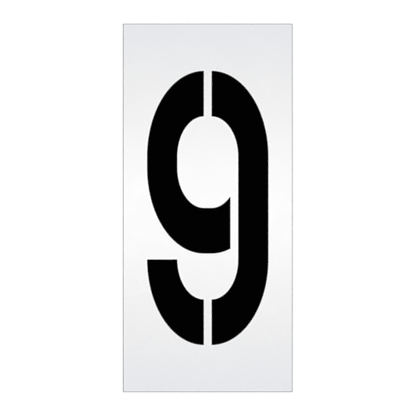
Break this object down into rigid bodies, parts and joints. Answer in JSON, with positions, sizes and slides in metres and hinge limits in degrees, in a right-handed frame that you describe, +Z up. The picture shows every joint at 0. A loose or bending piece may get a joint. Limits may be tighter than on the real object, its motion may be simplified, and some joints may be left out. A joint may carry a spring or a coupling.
{
  "type": "lettering stencil",
  "caption": "Flat rectangular plastic stencil sheet with one tall numeral cut through it, its inner islands held by narrow bridges.",
  "frame": {"origin": "middle of the underside, directly behind the middle of the numeral", "axes": "+X to the numeral's right, +Y to the numeral's top, +Z up through the sheet towards the reader"},
  "size_m": [0.1886, 0.41, 0.0016],
  "materials": {
    "sheet_plastic": "satin, milky natural polyethylene with cut edges"
  },
  "bodies": {
    "root": {"stencil_sheet": "sheet_plastic"}
  },
  "joints": []
}
